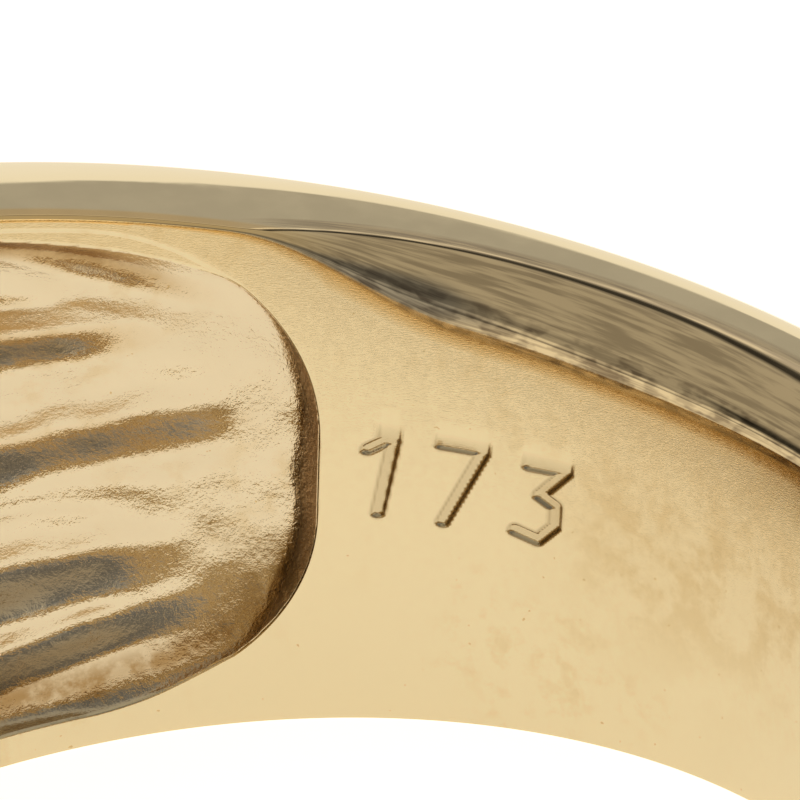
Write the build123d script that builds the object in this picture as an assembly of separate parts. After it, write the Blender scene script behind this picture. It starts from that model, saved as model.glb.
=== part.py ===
"""A domed cluster ring of yellow gold, lying on its lower side.

Lengths are in millimetres. The ring is drawn upright in its own frame first: local Z is the axis of the
finger hole, local +X points from the finger to the head. It is then laid on its lower side face, head
towards -X, with the origin at the middle of its footprint.
"""
import math
import os

from build123d import *

# Finger hole and width
finger_radius = 8.65
middle_width = 7.50
taper_angle = 7.2

# Outer form: a dome turned about an axis that lies a little towards the head
crown_radius = 11.60
crown_shift = 0.10
crown_curve = 9.0
outer_edge_round = 0.45
dome_height_share = 0.92

# Softened inner rim along the upper side of the shank
comfort_round = 1.60
comfort_shift = 1.25
comfort_start = 86.0

# Raised bands that fan out over the head
band_count = 5
band_pitch = 1.90
band_tube = 1.15
band_rise = 0.40
band_merge_angle = 68.0

# Hollow under the head
hollow_end_angle = 94.6
hollow_end_start_angle = 55.0
head_wall = 1.10
hollow_end_depth = 0.50
hollow_shift = 0.14
hollow_floor_curve = 7.5
hollow_wall_draft = 16.0
hollow_end_draft = 35.0
hollow_end_reach = 3.50
hollow_rim = 0.35
groove_tube = 0.80
groove_depth = 0.38
groove_merge_angle = 84.0

# Curve of the hollow's end: shares of the end's reach, and of the hollow's half width there
END_CURVE = [
    {"reach": 0.00, "half": 0.14},
    {"reach": 0.08, "half": 0.49},
    {"reach": 0.31, "half": 0.76},
    {"reach": 0.57, "half": 0.88},
    {"reach": 1.00, "half": 1.00},
]

# Round brilliants
stone_diameter = 1.30
stone_gap = 0.20
stones_in_middle_row = 9
stone_crown_share = 0.16
stone_girdle_share = 0.03
stone_pavilion_share = 0.43
stone_table_share = 0.56
stone_sides = 8
stone_stand = 0.06
stone_lean_share = 0.6
stone_culet_share = 0.02
seat_clearance = 0.03

taper_slope = math.tan(math.radians(taper_angle))
fan_distance = middle_width / 2 / taper_slope
crown_height = crown_radius + crown_shift
reach = 2 * crown_radius
hollow_depth = crown_height - head_wall - finger_radius
hollow_end_start = finger_radius * math.sin(math.radians(hollow_end_start_angle))
stone_pitch = stone_diameter + stone_gap
girdle_sink = stone_stand - stone_diameter * stone_crown_share


def dome_drop(curve, height):
    """How far an arc of this radius has fallen at this height from its middle."""
    return curve - math.sqrt(curve**2 - height**2)


def crown_reach(angle, height):
    """Distance of the dome from the finger axis, at an angle from the head and a height from the middle."""
    radius = crown_radius - dome_drop(crown_curve, height)
    turn = math.radians(angle)
    return crown_shift * math.cos(turn) + math.sqrt(radius**2 - (crown_shift * math.sin(turn)) ** 2)


def turned_dome(radius, curve, shift):
    """Solid of revolution with an arched outer face, about an axis moved towards the head, its seam behind."""
    half_height = dome_height_share * curve
    side = radius - dome_drop(curve, half_height)
    low = (shift - side, 0, -half_height)
    high = (shift - side, 0, half_height)
    outline = Wire(
        [
            Line((shift, 0, -half_height), low),
            ThreePointArc(low, (shift - radius, 0, 0), high),
            Line(high, (shift, 0, half_height)),
            Line((shift, 0, half_height), (shift, 0, -half_height)),
        ]
    )
    return revolve(Face(outline), Axis((shift, 0, 0), (0, 0, 1)), 360)


def side_wedge():
    """The room between the two flat side faces, which meet far behind the shank."""
    back = fan_distance - reach
    front = fan_distance + reach
    outline = Polygon(
        (-reach, -back * taper_slope),
        (reach, -front * taper_slope),
        (reach, front * taper_slope),
        (-reach, back * taper_slope),
        align=None,
    )
    return extrude(Plane.XZ * outline, reach, both=True)


def fan_plane(angle):
    """Plane that holds the far line where the side faces meet, turned up by an angle."""
    turn = math.radians(angle)
    return Plane(
        origin=(0, 0, fan_distance * math.tan(turn)),
        x_dir=(math.cos(turn), 0, math.sin(turn)),
        z_dir=(-math.sin(turn), 0, math.cos(turn)),
    )


def fan_angles():
    """Turn of each band's plane, lowest first."""
    step = band_pitch / (fan_distance + crown_height)
    middle = (band_count - 1) / 2
    return [math.degrees((i - middle) * step) for i in range(band_count)]


def fan_height(angle, forward):
    """Height of a band's plane at a distance from the finger axis towards the head."""
    return (fan_distance + forward) * math.tan(math.radians(angle))


def ring_through(head_top, merge_top, merge_angle):
    """Radius and shift of the circle that reaches two given heights, at the head and where it merges."""
    shift = (head_top - merge_top) / (1 - math.cos(math.radians(merge_angle)))
    return head_top - shift, shift


def band_top(angle):
    """Radius and shift of the circle along the top of one band."""
    side_forward = crown_height * math.cos(math.radians(band_merge_angle))
    head_top = crown_reach(0, fan_height(angle, crown_height)) + band_rise
    merge_top = crown_reach(band_merge_angle, fan_height(angle, side_forward))
    return ring_through(head_top, merge_top, band_merge_angle)


def crown_band(angle):
    """One raised band, which sinks into the dome at the shoulders and ends flush with the side faces."""
    radius, shift = band_top(angle)
    ring = fan_plane(angle) * Pos(shift, 0, 0) * Torus(radius - band_tube, band_tube)
    front = Pos(reach / 2, 0, 0) * Box(reach, 2 * reach, 2 * reach)
    return ring & front & side_wedge()


def floor_radius():
    """Radius and shift of the hollow's floor, from its depth at the head and at its ends."""
    return ring_through(finger_radius + hollow_depth, finger_radius + hollow_end_depth, hollow_end_angle)


def floor_groove(angle):
    """The groove that follows one band along the floor of the hollow."""
    radius, shift = floor_radius()
    turn = math.radians(groove_merge_angle)
    head = radius + shift
    merge = radius + shift * math.cos(turn)
    drop = dome_drop(hollow_floor_curve, fan_height(angle, head))
    merge_drop = dome_drop(hollow_floor_curve, fan_height(angle, head * math.cos(turn)))
    groove, groove_shift = ring_through(head - drop + groove_depth, merge - merge_drop, groove_merge_angle)
    return fan_plane(angle) * Pos(groove_shift, 0, 0) * Torus(groove - groove_tube, groove_tube)


def side_face_plane(side):
    """Plane of the upper (+1) or lower (-1) side face, with its normal pointing out."""
    turn = math.radians(taper_angle)
    return Plane(
        origin=(0, 0, side * middle_width / 2),
        x_dir=(math.cos(turn), 0, side * math.sin(turn)),
        z_dir=(-math.sin(turn), 0, side * math.cos(turn)),
    )


def hollow_side(side):
    """Room inside one sloping wall of the hollow: a cone square to the side face."""
    slope = math.tan(math.radians(hollow_wall_draft))
    rim = hollow_rim - side * hollow_shift
    inner = rim - finger_radius * slope
    outer = rim + (reach - finger_radius) * slope
    outline = Polygon((0, -inner), (reach, -outer), (reach, -reach), (0, -reach), align=None)
    cone = revolve(Plane.XZ * outline, Axis.Z, 360)
    return side_face_plane(side) * cone


def end_outline(end, half):
    """Outline of the hollow seen from the side of the finger: blunt end, two arcs to each side, open to the head."""
    curve = [(end + hollow_end_reach * row["reach"], half * row["half"]) for row in END_CURVE]
    tip, bend, knee, swell, side = curve
    front = crown_radius

    def lower(point):
        return (point[0], -point[1])

    outline = Wire(
        [
            Line(lower(tip), tip),
            ThreePointArc(tip, bend, knee),
            ThreePointArc(knee, swell, side),
            Line(side, (front, half)),
            Line((front, half), (front, -half)),
            Line((front, -half), lower(side)),
            ThreePointArc(lower(side), lower(swell), lower(knee)),
            ThreePointArc(lower(knee), lower(bend), lower(tip)),
        ]
    )
    return Pos(0, hollow_shift) * Face(outline)


def hollow_end(side):
    """Room inside one rounded, sloping end of the hollow, beyond the part that the walls bound."""
    turn = math.radians(hollow_end_angle)
    depth = crown_radius - hollow_end_start
    lean = math.tan(math.radians(hollow_end_draft))
    lead = (finger_radius * math.sin(turn) - hollow_end_start) * lean
    end = finger_radius * math.cos(turn) - lead
    half = middle_width / 2 + lead
    near = Plane(origin=(0, side * hollow_end_start, 0), x_dir=(1, 0, 0), z_dir=(0, -1, 0))
    far = Plane(origin=(0, side * crown_radius, 0), x_dir=(1, 0, 0), z_dir=(0, -1, 0))
    outlines = [near * end_outline(end, half), far * end_outline(end + depth * lean, half - depth * lean)]
    return loft(outlines, ruled=True)


def hollow():
    """The hollow under the head: a domed floor with one groove for each band, sloping walls and ends."""
    radius, shift = floor_radius()
    room = turned_dome(radius, hollow_floor_curve, shift)
    for angle in fan_angles():
        room += floor_groove(angle)
    middle = Pos(reach / 2, 0, 0) * Box(reach, 2 * hollow_end_start, reach)
    length = middle + hollow_end(1) + hollow_end(-1)
    return room & length & hollow_side(1) & hollow_side(-1)


def comfort_cut():
    """Softens the upper inner rim: from nothing beside the hollow to its most at the back of the shank."""
    arc_radius = finger_radius - comfort_shift * math.cos(math.radians(comfort_start))
    inner = finger_radius - 2 * comfort_round
    bulge = comfort_round * (1 - math.sqrt(0.5))
    outline = Wire(
        [
            Line((inner, 0, comfort_round), (arc_radius, 0, comfort_round)),
            Line((arc_radius, 0, comfort_round), (arc_radius, 0, 0)),
            ThreePointArc(
                (arc_radius, 0, 0),
                (arc_radius - comfort_round + bulge, 0, -bulge),
                (arc_radius - comfort_round, 0, -comfort_round),
            ),
            Line((arc_radius - comfort_round, 0, -comfort_round), (inner, 0, -comfort_round)),
            Line((inner, 0, -comfort_round), (inner, 0, comfort_round)),
        ]
    )
    cutter = revolve(Face(outline), Axis.Z, 360)
    return side_face_plane(1) * Pos(-comfort_shift, 0, 0) * cutter


def stone_places():
    """Row, number and place on the gold of each stone, with Z outwards: rows staggered like a honeycomb."""
    places = []
    middle = (band_count - 1) // 2
    for row, angle in enumerate(fan_angles()):
        count = stones_in_middle_row - abs(row - middle)
        path, shift = band_top(angle)
        step = math.degrees(stone_pitch / path)
        lean = stone_lean_share * math.degrees(math.asin(fan_height(angle, crown_height) / crown_curve))
        for i in range(count):
            around = Rot(0, 0, (i - (count - 1) / 2) * step)
            top = fan_plane(angle) * Pos(shift, 0, 0) * around * Pos(path, 0, 0)
            places.append((row + 1, i + 1, top * Rot(0, 90, 0) * Rot(0, 0, 90) * Rot(-lean, 0, 0)))
    return places


def stone():
    """Round brilliant with a table, eight crown and eight pavilion facets, its girdle's top at Z = 0."""
    girdle = stone_diameter / 2
    table = girdle * stone_table_share
    girdle_depth = stone_diameter * stone_girdle_share
    depth = girdle_depth + stone_diameter * stone_pavilion_share
    widest = RegularPolygon(girdle, stone_sides)
    top = Pos(0, 0, stone_diameter * stone_crown_share) * RegularPolygon(table, stone_sides)
    culet = Pos(0, 0, -depth) * RegularPolygon(girdle * stone_culet_share, stone_sides)
    crown = loft([widest, top], ruled=True)
    edge = extrude(widest, -girdle_depth)
    pavilion = loft([culet, Pos(0, 0, -girdle_depth) * widest], ruled=True)
    return Pos(0, 0, girdle_sink) * (crown + edge + pavilion)


def seat():
    """Cup that a stone sits in, wider by the seat's clearance."""
    radius = stone_diameter / 2 + seat_clearance
    depth = stone_diameter * (stone_girdle_share + stone_pavilion_share) + 2 * seat_clearance
    shoulder = stone_diameter * stone_girdle_share + seat_clearance
    outline = Polygon((0, stone_diameter), (radius, stone_diameter), (radius, -shoulder), (0, -depth), align=None)
    return Pos(0, 0, girdle_sink) * revolve(Plane.XZ * outline, Axis.Z, 360)


def ring_body():
    """The whole gold casting: dome, bands, finger hole, softened rim, hollow and stone seats."""
    body = turned_dome(crown_radius, crown_curve, crown_shift) & side_wedge()
    body = fillet(body.edges(), outer_edge_round)
    body += [crown_band(angle) for angle in fan_angles()]
    body -= Cylinder(finger_radius, reach)
    body -= comfort_cut()
    body -= hollow()
    cup = seat()
    for row, number, where in stone_places():
        body -= where * cup
    return body


def laid_down(box_middle):
    """Move from the drawn frame to the resting frame, with the footprint's middle at the origin."""
    turn = Rot(0, 0, 180) * Rot(0, -taper_angle, 0)
    lift = middle_width / 2 * math.cos(math.radians(taper_angle))
    return Pos(-box_middle, 0, lift) * turn


def main():
    os.makedirs("parts", exist_ok=True)
    gem = stone()
    pieces = {f"stone_{row}_{number}": where * gem for row, number, where in stone_places()}
    pieces["ring_body"] = ring_body()
    boxes = [(laid_down(0) * piece).bounding_box() for piece in pieces.values()]
    rest = laid_down((min(box.min.X for box in boxes) + max(box.max.X for box in boxes)) / 2)
    for name, piece in pieces.items():
        export_step(rest * piece, f"parts/{name}.step")


main()
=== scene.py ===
"""Looks for a domed cluster ring lying on its side: gold casting, settings, stones and a pale studio.

Shapes are worked out in the ring's own frame, in millimetres: Z is the finger axis and +X points to the
head. A point is (angle from the head, distance from the axis, height). to_row() lays the ring down and
gives metres.
"""
import math

import bpy
import numpy as np
from mathutils import Matrix


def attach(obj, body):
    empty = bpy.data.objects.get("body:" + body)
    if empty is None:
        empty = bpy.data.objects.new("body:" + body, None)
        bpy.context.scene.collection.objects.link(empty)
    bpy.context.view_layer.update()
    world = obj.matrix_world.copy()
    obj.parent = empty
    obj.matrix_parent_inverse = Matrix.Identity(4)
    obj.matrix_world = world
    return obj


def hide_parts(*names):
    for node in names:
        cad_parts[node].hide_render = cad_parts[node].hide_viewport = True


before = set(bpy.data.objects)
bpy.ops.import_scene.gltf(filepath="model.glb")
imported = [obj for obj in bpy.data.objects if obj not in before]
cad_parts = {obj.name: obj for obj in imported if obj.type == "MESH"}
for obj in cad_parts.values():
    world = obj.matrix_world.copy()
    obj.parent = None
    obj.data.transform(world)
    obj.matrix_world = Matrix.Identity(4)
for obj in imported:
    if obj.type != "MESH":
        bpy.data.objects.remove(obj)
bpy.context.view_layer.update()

# A millimetre in metres, and a distance in millimetres beyond anything in the ring
MM, FAR = 0.001, 99.0

# The ring's driving sizes, as in the part's source
FINGER_RADIUS = 8.65
MIDDLE_WIDTH = 7.50
TAPER = math.radians(7.2)
CROWN_RADIUS, CROWN_SHIFT, CROWN_CURVE = 11.60, 0.10, 9.0
EDGE_ROUND = 0.45
BAND_COUNT, BAND_PITCH, BAND_TUBE = 5, 1.90, 1.15
BAND_RISE, BAND_MERGE = 0.40, math.radians(68.0)
HOLLOW_END, HOLLOW_END_START = math.radians(94.6), math.radians(55.0)
HOLLOW_DEPTH, HOLLOW_END_DEPTH, HOLLOW_SHIFT = 1.95, 0.50, 0.14
FLOOR_CURVE, WALL_DRAFT, END_DRAFT = 7.5, math.radians(16.0), math.radians(35.0)
END_REACH, HOLLOW_RIM = 3.50, 0.35
GROOVE_TUBE, GROOVE_DEPTH, GROOVE_MERGE = 0.80, 0.38, math.radians(84.0)
END_CURVE = [(0.00, 0.14), (0.08, 0.49), (0.31, 0.76), (0.57, 0.88), (1.00, 1.00)]
STONE_DIAMETER, STONE_PITCH, STONES_IN_MIDDLE = 1.30, 1.50, 9
STONE_CROWN, STONE_GIRDLE, STONE_PAVILION = 0.16, 0.03, 0.43
STONE_STAND, STONE_LEAN, SEAT_CLEARANCE = 0.06, 0.6, 0.03

SLOPE = math.tan(TAPER)
FAN = MIDDLE_WIDTH / 2 / SLOPE
CROWN_HEIGHT = CROWN_RADIUS + CROWN_SHIFT
GIRDLE_SINK = STONE_STAND - STONE_DIAMETER * STONE_CROWN
BORE_CENTRE = np.array([0.3147, 0.0, MIDDLE_WIDTH / 2 * math.cos(TAPER)])

# How sharply the skin's forms blend: bands over the dome, grooves in the floor, cove round the hollow
BAND_BLEND, GROOVE_BLEND, COVE = 22.0, 14.0, 5.0

# Outer edge: swell of the dome, slope of the side face, and the conic that rounds the corner
EDGE_SWELL, HEAD_SWELL = 0.075, 0.08
EDGE_SLOPE, SLOPE_WIDTH, HEAD_SLOPE_WIDTH = 0.10, 0.52, 0.44
CORNER_LEAN, CORNER_DROP, CORNER_WEIGHT = 0.637, 0.92, 0.85

# Softened upper rim of the shank, and the small corner between either rim and the finger wall
RIM_WIDTH, RIM_START, RIM_GROWTH = 1.35, math.radians(86.0), math.radians(22.0)
RIM_DROP, RIM_BACK_LOSS, RIM_MARGIN = 0.72, 0.42, 0.35
UPPER_CORNER, LOWER_CORNER, WORN_CORNER, WORN_CORNER_WIDTH = 0.06, 0.02, 0.14, 0.9

# Hollow: lip round its outline, wear of the outline's corners, and where rows start inside it
LIP = 0.045
OUTLINE_WEAR = math.radians(4.8)
ROW_GAP, ROW_CROWD = 0.010, 0.72

# Turns from the head, in degrees, over which a form or a colour comes in or fades out. Those of the steps
# and ridges are counted back from their ends.
SWELL_START, HEAD_SWELL_FADE, HEAD_SLOPE_FADE = (35, 60), (62, 93), (62, 100)
RIM_DROP_START, RIM_BACK_START, OUTLINE_WEAR_FADE = (87, 107), (118, 155), (81, 88)
UPPER_BAND_FADE, LOWER_BAND_FADE, END_WALL_START = (73, 84), (86, 93), 60
LOW_END_START, WORN_START, STEP_FADE, RIDGE_FADE = (83, 90), (112, 126), (0, 13), (0, 8)

# Other ranges over which a form comes in: the bands by the cosine of the angle, the edge's swell by the
# share of the half width, the floor's relief by depth, the end wall by depth and the painted shade of its low
# part by height
BAND_FRONT, EDGE_SHARE, RELIEF_START = (-0.05, 0.15), (0.72, 0.95), (0.05, 0.45)
END_WALL_BLEND, LOW_END_HEIGHT = (-0.10, 0.25), (0.5, 1.6)

# Rounds of repeated correction: tubes, the hollow's limits, walls and end, and the outer corners
TUBE_ROUNDS, LIMIT_ROUNDS, WALL_ROUNDS, END_ROUNDS, CORNER_ROUNDS = 4, 12, 8, 22, 20

# Rows of the skin
RIM_STEPS, CREASE_STEPS, MARGIN_STEPS, HOLLOW_STEPS = 11, 5, 7, 111
FACE_STEPS, EDGE_STEPS, DOME_STEPS = 9, 7, 70
LIP_STEPS = (0.0, 0.3, 0.6)

# Steps cast into the hollow's floor: height at 65 degrees, rise per degree, end angle, half width, depth
STEP_ORIGIN, STEP_RETURN = 65, 1.6
STEPS = [
    (3.72, -0.050, 87.0, 0.26, 0.40),
    (1.72, 0.019, 83.0, 0.30, 0.50),
    (-0.12, 0.036, 91.0, 0.38, 0.52),
    (-2.05, 0.032, 87.0, 0.38, 0.50),
    (-3.05, 0.050, 88.0, 0.28, 0.42),
]
# Low thin ridges between the steps, with the same columns
RIDGES = [
    (2.60, 0.000, 73.0, 0.12, 0.07),
    (-0.75, 0.014, 81.0, 0.13, 0.08),
]
# Waves of the cast skin in the hollow: height, wavelength and seed
CAST_WAVES = [(0.012, 0.8, 5), (0.020, 2.2, 6)]

# Bands of painted shade along the hollow's sides: distance from the outline and width. The upper one moves in
# with the turn from the head, from its distance at one turn, by so much a degree.
UPPER_BAND, UPPER_BAND_WIDTH, UPPER_BAND_TURN, UPPER_BAND_SHIFT = 0.32, 0.18, 68, 0.02
LOWER_BAND, LOWER_BAND_WIDTH = 0.38, 0.30
# Worn stretch of the finger wall: height of its middle, and width
WORN_MIDDLE, WORN_WIDTH = 0.2, 1.5
# Softened rim: width at which its painted reflection is full, width of the painted highlight line at its
# foot, reach of the crease that gets that painted highlight too
RIM_FULL, HIGHLIGHT_WIDTH, CREASE_REACH = 0.5, 0.13, (0.22, 0.30)

# Strokes of the struck number, as lines of (along, up) in stamp heights, for the figures 1, 7 and 3
STROKES = [
    (0.00, 0.00, 0.00, 1.00),
    (0.00, 1.00, -0.28, 0.80),
    (0.56, 1.00, 1.08, 1.00),
    (1.08, 1.00, 0.78, 0.00),
    (1.65, 0.95, 2.12, 0.98),
    (2.12, 0.98, 1.85, 0.60),
    (1.85, 0.60, 2.08, 0.50),
    (2.08, 0.50, 2.12, 0.25),
    (2.12, 0.25, 1.95, 0.02),
    (1.95, 0.02, 1.65, 0.08),
]
STAMP_HEIGHT, STAMP_START, STAMP_BASE, STAMP_SLANT = 1.18, math.radians(-100.1), -0.30, 0.17
STAMP_LIMITS = math.radians(-121), math.radians(-96)
STROKE_HALF, STAMP_DEPTH = 0.090, 0.05
# From the edge of a stroke: where its side rises, where its tint fades, and the width of the line of painted
# shade along it
STROKE_SIDE, STROKE_TINT, STROKE_SHADE_LINE = (-0.035, 0.005), (-0.01, 0.03), 0.028

# Profile of a collet: distance from the stone's axis, and height over the band
COLLET = [
    (0.664, -0.22),
    (0.664, 0.005),
    (0.678, 0.035),
    (0.700, 0.045),
    (0.722, 0.035),
    (0.742, 0.000),
    (0.746, -0.34),
]
COLLET_SIDES = 28

# Grains: radius, distance from the row's line, depth of the middle, rise as a share of the radius
GRAIN_RADIUS, GRAIN_ASIDE, GRAIN_SINK, GRAIN_RISE = 0.145, 0.50, 0.135, 0.25
GRAIN_SIDES, GRAIN_ROWS = 12, 8


def to_row(points):
    """Turns points of the ring's own frame, in millimetres, into the row frame, in metres."""
    c, s = math.cos(TAPER), math.sin(TAPER)
    x, y, z = points[..., 0], points[..., 1], points[..., 2]
    laid = np.stack([-(c * x - s * z), -y, s * x + c * z], axis=-1)
    return (laid + BORE_CENTRE) * MM


def polar(angle, reach, height):
    """Points of the ring's own frame from angle, distance from the axis and height."""
    return np.stack(np.broadcast_arrays(reach * np.cos(angle), reach * np.sin(angle), height), axis=-1)


def waves(points, wavelength, seed, count=14):
    """Smooth irregular relief of about unit size.

    It is a sum of plane waves in random directions, with lengths spread about one wavelength."""
    rng = np.random.default_rng(seed)
    direction = rng.normal(size=(count, 3))
    direction /= np.linalg.norm(direction, axis=1)[:, None]
    length = wavelength * rng.uniform(0.7, 1.5, count)
    phase = rng.uniform(0, 2 * math.pi, count)
    wave_vectors = direction * (2 * math.pi / length)[:, None]
    return np.sin(points @ wave_vectors.T + phase).sum(-1) / math.sqrt(count / 2)


def smooth_step(x, low, high):
    """0 below low, 1 above high, with a smooth rise between: three squares less two cubes."""
    t = np.clip((x - low) / (high - low), 0, 1)
    return t * t * (3 - 2 * t)


def beyond(angle, first, last):
    """0 up to one turn from the head and 1 past another, both in degrees, with a smooth rise between."""
    return smooth_step(np.degrees(np.abs(angle)), first, last)


def bell(x, width):
    """1 at zero, falling to both sides: the exponential of minus the square."""
    return np.exp(-((x / width) ** 2))


def drop(curve, height):
    """How far an arc has fallen at a height from its middle."""
    return curve - np.sqrt(np.maximum(curve**2 - height**2, 0))


def face_height(x):
    """Height of the upper side face at a distance x towards the head; the lower face mirrors it."""
    return MIDDLE_WIDTH / 2 + x * SLOPE


def fan_angles():
    """Turn of each band's plane, lowest first."""
    return (np.arange(BAND_COUNT) - (BAND_COUNT - 1) / 2) * BAND_PITCH / (FAN + CROWN_HEIGHT)


def ring_through(head_top, merge_top, merge_angle):
    """Radius and shift of the circle that reaches two given distances, at the head and at an angle."""
    shift = (head_top - merge_top) / (1 - math.cos(merge_angle))
    return head_top - shift, shift


def dome_reach(angle, height):
    """Distance of the plain dome from the axis: an arched drum about an axis moved towards the head."""
    radius = CROWN_RADIUS - drop(CROWN_CURVE, height)
    return CROWN_SHIFT * np.cos(angle) + np.sqrt(radius**2 - (CROWN_SHIFT * np.sin(angle)) ** 2)


def band_top(turn):
    """Radius and shift of the circle along the top of the band in a plane with this turn."""
    slope = math.tan(turn)
    head = dome_reach(0.0, (FAN + CROWN_HEIGHT) * slope) + BAND_RISE
    merge = dome_reach(BAND_MERGE, (FAN + CROWN_HEIGHT * math.cos(BAND_MERGE)) * slope)
    return ring_through(float(head), float(merge), BAND_MERGE)


def tube_reach(angle, height, turn, radius, shift, tube):
    """Distance from the axis to the far side of a round tube bent in a circle that lies in a turned plane.

    The tube's height over that plane gives the circle's reach there, and the ray meets it where a
    quadratic says; a few rounds settle both."""
    start = FAN * math.tan(turn)
    reach = np.full(np.broadcast(angle, height).shape, radius + shift)
    for _ in range(TUBE_ROUNDS):
        off = -reach * np.cos(angle) * math.sin(turn) + (height - start) * math.cos(turn)
        ring = radius - tube + np.sqrt(np.maximum(tube**2 - off**2, 0))
        a = (np.cos(angle) * math.cos(turn)) ** 2 + np.sin(angle) ** 2
        lead = (height - start) * math.sin(turn) - shift
        b = np.cos(angle) * math.cos(turn) * lead
        reach = (-b + np.sqrt(np.maximum(b * b - a * (lead**2 - ring**2), 0))) / a
    return np.where(np.abs(off) < tube, reach, 0.0)


def soft_max(values, sharpness):
    """Largest of several surfaces with filleted valleys: the logarithm of the sum of exponentials."""
    top = values.max(0)
    return top + np.log(np.exp((values - top) * sharpness).sum(0)) / sharpness


def outer_reach(angle, height):
    """Distance of the outer face from the axis: dome and bands blended, with a slight swell at the edges."""
    front = smooth_step(np.cos(angle), *BAND_FRONT)
    parts = [dome_reach(angle, height)]
    for turn in fan_angles():
        radius, shift = band_top(turn)
        parts.append(tube_reach(angle, height, turn, radius, shift, BAND_TUBE) * front)
    edge = smooth_step(np.abs(height) / face_height(CROWN_RADIUS * np.cos(angle)), *EDGE_SHARE)
    swell = EDGE_SWELL + HEAD_SWELL * (1 - beyond(angle, *HEAD_SWELL_FADE))
    swell = swell * beyond(angle, *SWELL_START)
    return soft_max(np.stack(parts), BAND_BLEND) + swell * edge


def arc_through(a, b, c, count):
    """Points along the circular arc from a through b to c."""
    a, b, c = (complex(*p) for p in (a, b, c))
    w = (c - a) / (b - a)
    centre = (b - a) * (w - abs(w) ** 2) / (2j * w.imag) + a
    first = np.angle(a - centre)
    sweep = (np.angle(c - centre) - first + math.pi) % (2 * math.pi) - math.pi
    around = first + sweep * np.linspace(0, 1, count)
    points = centre + abs(a - centre) * np.exp(1j * around)
    return np.stack([points.real, points.imag], axis=1)


def end_table():
    """The hollow's end curve from its two arcs: shares of the reach, and of the half width."""
    points = [(END_REACH * reach, MIDDLE_WIDTH / 2 * half) for reach, half in END_CURVE]
    first = arc_through(*points[:3], 30)
    second = arc_through(*points[2:], 30)[1:]
    curve = np.concatenate([first, second])
    return curve[:, 0] / END_REACH, curve[:, 1] / (MIDDLE_WIDTH / 2)


END_SHARE, END_HALF = end_table()
END_Y = FINGER_RADIUS * math.sin(HOLLOW_END_START)
END_LEAD = (FINGER_RADIUS * math.sin(HOLLOW_END) - END_Y) * math.tan(END_DRAFT)


def end_line(y):
    """How far towards the head the hollow's end starts at a distance y to the side, by the end's draft."""
    return FINGER_RADIUS * math.cos(HOLLOW_END) - END_LEAD + (np.abs(y) - END_Y) * math.tan(END_DRAFT)


def end_half(y):
    """Half width of the hollow's end curve at a distance y to the side."""
    return MIDDLE_WIDTH / 2 + END_LEAD - (np.abs(y) - END_Y) * math.tan(END_DRAFT)


def side_room(reach, angle, height, side):
    """How far a point lies inside one sloping wall of the hollow, measured square to the side face."""
    z = side * height
    forward = reach * np.cos(angle)
    depth = forward * math.sin(TAPER) - (z - MIDDLE_WIDTH / 2) * math.cos(TAPER)
    out = np.sqrt(np.maximum(reach**2 + (z - MIDDLE_WIDTH / 2) ** 2 - depth**2, 0))
    rim = HOLLOW_RIM - side * HOLLOW_SHIFT
    return depth - rim - (out - FINGER_RADIUS) * math.tan(WALL_DRAFT)


def side_limit(angle, side):
    """Height on the finger wall where one sloping wall of the hollow starts, by repeated correction."""
    height = np.full_like(angle, side * MIDDLE_WIDTH / 2)
    for _ in range(LIMIT_ROUNDS):
        height = height + side * side_room(FINGER_RADIUS, angle, height, side)
    return height


def side_depth(angle, height, side):
    """Depth below the finger wall at which a ray from the axis meets one sloping wall."""
    reach = np.full(np.broadcast(angle, height).shape, FINGER_RADIUS)
    rate = math.tan(WALL_DRAFT) - np.cos(angle) * math.sin(TAPER)
    for _ in range(WALL_ROUNDS):
        reach = reach + side_room(reach, angle, height, side) / rate
    return np.maximum(reach - FINGER_RADIUS, 0)


def end_room(reach, angle, height):
    """How far a point lies beyond the hollow's end curve, towards the head."""
    y = reach * np.sin(angle)
    across = np.abs(height - HOLLOW_SHIFT) / np.maximum(end_half(y), 0.01)
    share = np.interp(across, END_HALF, END_SHARE, left=0, right=FAR)
    return reach * np.cos(angle) - end_line(y) - END_REACH * share


def end_depth(angle, height):
    """Depth below the finger wall at which a ray from the axis meets the end wall, found by halving."""
    shape = np.broadcast(angle, height).shape
    low, high = np.full(shape, FINGER_RADIUS), np.full(shape, CROWN_RADIUS)
    for _ in range(END_ROUNDS):
        middle = (low + high) / 2
        inside = (end_room(middle, angle, height) > 0) | (np.abs(middle * np.sin(angle)) < END_Y)
        low, high = np.where(inside, middle, low), np.where(inside, high, middle)
    return low - FINGER_RADIUS


def floor_depth(angle, height):
    """Depth of the hollow's floor below the finger wall: an arched drum with a groove under each band."""
    radius, shift = ring_through(FINGER_RADIUS + HOLLOW_DEPTH, FINGER_RADIUS + HOLLOW_END_DEPTH, HOLLOW_END)
    drum = radius - drop(FLOOR_CURVE, height)
    parts = [shift * np.cos(angle) + np.sqrt(drum**2 - (shift * np.sin(angle)) ** 2)]
    head = radius + shift
    merge = radius + shift * math.cos(GROOVE_MERGE)
    for turn in fan_angles():
        head_drop = drop(FLOOR_CURVE, (FAN + head) * math.tan(turn))
        merge_drop = drop(FLOOR_CURVE, (FAN + head * math.cos(GROOVE_MERGE)) * math.tan(turn))
        groove, move = ring_through(head - head_drop + GROOVE_DEPTH, merge - merge_drop, GROOVE_MERGE)
        parts.append(tube_reach(angle, height, turn, groove, move, GROOVE_TUBE))
    return soft_max(np.stack(parts), GROOVE_BLEND) - FINGER_RADIUS


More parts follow.
